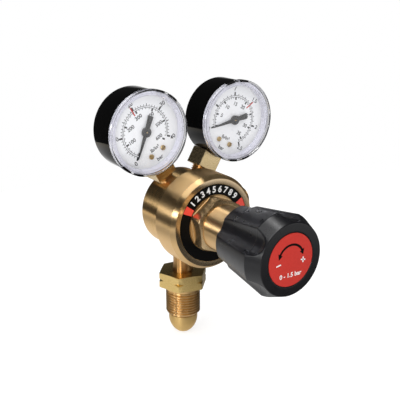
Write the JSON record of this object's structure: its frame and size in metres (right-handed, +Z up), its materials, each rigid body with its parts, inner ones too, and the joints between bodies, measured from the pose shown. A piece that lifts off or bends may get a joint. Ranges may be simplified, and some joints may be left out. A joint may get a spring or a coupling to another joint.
{
  "type": "gas regulator",
  "caption": "Brass welding-gas pressure regulator with gauges above a drum body, a black lobed adjusting knob, a bull-nose inlet nut below and a threaded side outlet.",
  "frame": {"origin": "the tip of the inlet's bull nose, on the inlet's axis", "axes": "+Z up the inlet, -Y out through the adjusting knob, +X out through the outlet"},
  "size_m": [0.1162, 0.1228, 0.1682],
  "materials": {
    "turned_brass": "bright turned",
    "nut_brass": "satin machined",
    "movement_brass": "satin stamped",
    "steel": "zinc plated",
    "bronze": "sintered",
    "rubber": "fabric reinforced",
    "black_plastic": "satin moulded",
    "black_print": "printed",
    "red_print": "printed",
    "black_enamel": "gloss stoved",
    "dial_white": "matt printed",
    "pointer_black": "satin",
    "clear_plastic": "clear moulded"
  },
  "bodies": {
    "regulator": {"regulator_body": "turned_brass", "bonnet": "turned_brass", "bonnet_label_ring": "black_print", "diaphragm": "rubber", "slip_ring": "steel", "seat_nozzle": "turned_brass", "valve_spring": "steel", "main_spring": "steel", "inlet_nipple": "turned_brass", "inlet_filter": "bronze", "outlet_connector": "turned_brass", "high_case": "black_enamel", "high_lens": "clear_plastic", "high_dial": "dial_white", "high_dial_screw_left": "movement_brass", "high_dial_screw_right": "movement_brass", "high_socket": "nut_brass", "high_bourdon_tube": "movement_brass", "high_rear_plate": "movement_brass", "high_front_plate": "movement_brass", "high_hairspring": "steel", "low_case": "black_enamel", "low_lens": "clear_plastic", "low_dial": "dial_white", "low_dial_screw_left": "movement_brass", "low_dial_screw_right": "movement_brass", "low_socket": "nut_brass", "low_bourdon_tube": "movement_brass", "low_rear_plate": "movement_brass", "low_front_plate": "movement_brass", "low_hairspring": "steel"},
    "spring_button": {"spring_button": "steel", "thrust_ball": "steel"},
    "knob": {"knob": "black_plastic", "knob_label_disc": "red_print", "adjusting_screw": "steel", "knob_fixing_screw": "steel"},
    "valve": {"diaphragm_plate": "steel", "diaphragm_nut": "turned_brass", "valve_pin": "steel", "valve_poppet": "turned_brass", "valve_seat_pad": "rubber"},
    "inlet_nut": {"inlet_nut": "nut_brass"},
    "high_pointer": {"high_pointer": "pointer_black", "high_pinion_arbor": "movement_brass"},
    "high_sector": {"high_sector_gear": "movement_brass"},
    "high_tube_tip": {"high_tube_tip": "movement_brass"},
    "high_link": {"high_link": "movement_brass"},
    "low_pointer": {"low_pointer": "pointer_black", "low_pinion_arbor": "movement_brass"},
    "low_sector": {"low_sector_gear": "movement_brass"},
    "low_tube_tip": {"low_tube_tip": "movement_brass"},
    "low_link": {"low_link": "movement_brass"}
  },
  "joints": [
    {"name": "button_slide", "type": "slide", "parent": "regulator", "child": "spring_button", "axis": [0, 1, 0], "range_m": [0, 0.008], "deforming": ["main_spring"]},
    {"name": "knob_turn", "type": "hinge", "parent": "spring_button", "child": "knob", "pos_m": [0, 0, 0.0865], "axis": [0, 1, 0], "range_deg": [0, 1440]},
    {"name": "valve_slide", "type": "slide", "parent": "regulator", "child": "valve", "axis": [0, 1, 0], "range_m": [0, 0.001], "deforming": ["valve_spring", "diaphragm", "main_spring"]},
    {"name": "inlet_nut_turn", "type": "hinge", "parent": "regulator", "child": "inlet_nut", "pos_m": [0, 0, 0.03], "axis": [0, 0, 1], "continuous": true},
    {"name": "high_pointer_turn", "type": "hinge", "parent": "regulator", "child": "high_pointer", "pos_m": [-0.0322, 0, 0.14227], "axis": [0, 1, 0], "range_deg": [0, 272], "deforming": ["high_hairspring"]},
    {"name": "high_sector_turn", "type": "hinge", "parent": "regulator", "child": "high_sector", "pos_m": [-0.0225, 0, 0.13667], "axis": [0, 1, 0], "range_deg": [-59.5, 0]},
    {"name": "high_tip_slide", "type": "slide", "parent": "regulator", "child": "high_tube_tip", "axis": [-0.5, 0, 0.866], "range_m": [0, 0.00257], "stiffness_N_per_m": 1000, "deforming": ["high_bourdon_tube"]},
    {"name": "high_link_turn", "type": "hinge", "parent": "high_tube_tip", "child": "high_link", "pos_m": [-0.02038, 0, 0.14679], "axis": [0, 1, 0], "range_deg": [0, 5.75]},
    {"name": "low_pointer_turn", "type": "hinge", "parent": "regulator", "child": "low_pointer", "pos_m": [0.0322, 0, 0.14227], "axis": [0, 1, 0], "range_deg": [0, 272], "deforming": ["low_hairspring"]},
    {"name": "low_sector_turn", "type": "hinge", "parent": "regulator", "child": "low_sector", "pos_m": [0.0322, 0, 0.13107], "axis": [0, 1, 0], "range_deg": [-59.5, 0]},
    {"name": "low_tip_slide", "type": "slide", "parent": "regulator", "child": "low_tube_tip", "axis": [0.5, 0, 0.866], "range_m": [0, 0.00257], "stiffness_N_per_m": 1000, "deforming": ["low_bourdon_tube"]},
    {"name": "low_link_turn", "type": "hinge", "parent": "low_tube_tip", "child": "low_link", "pos_m": [0.04202, 0, 0.13429], "axis": [0, 1, 0], "range_deg": [0, 5.75]}
  ],
  "couplings": [
    {"joint": "button_slide", "follows": "knob_turn", "m_per_rad": 0.00031831},
    {"joint": "valve_slide", "follows": "knob_turn", "m_per_rad": 0.000039789},
    {"joint": "high_pointer_turn", "follows": "high_tip_slide", "rad_per_m": 1797.6},
    {"joint": "high_sector_turn", "follows": "high_tip_slide", "rad_per_m": -390.77},
    {"joint": "high_link_turn", "follows": "high_tip_slide", "rad_per_m": 37.538},
    {"joint": "low_pointer_turn", "follows": "low_tip_slide", "rad_per_m": 1797.6},
    {"joint": "low_sector_turn", "follows": "low_tip_slide", "rad_per_m": -390.77},
    {"joint": "low_link_turn", "follows": "low_tip_slide", "rad_per_m": 37.538}
  ]
}
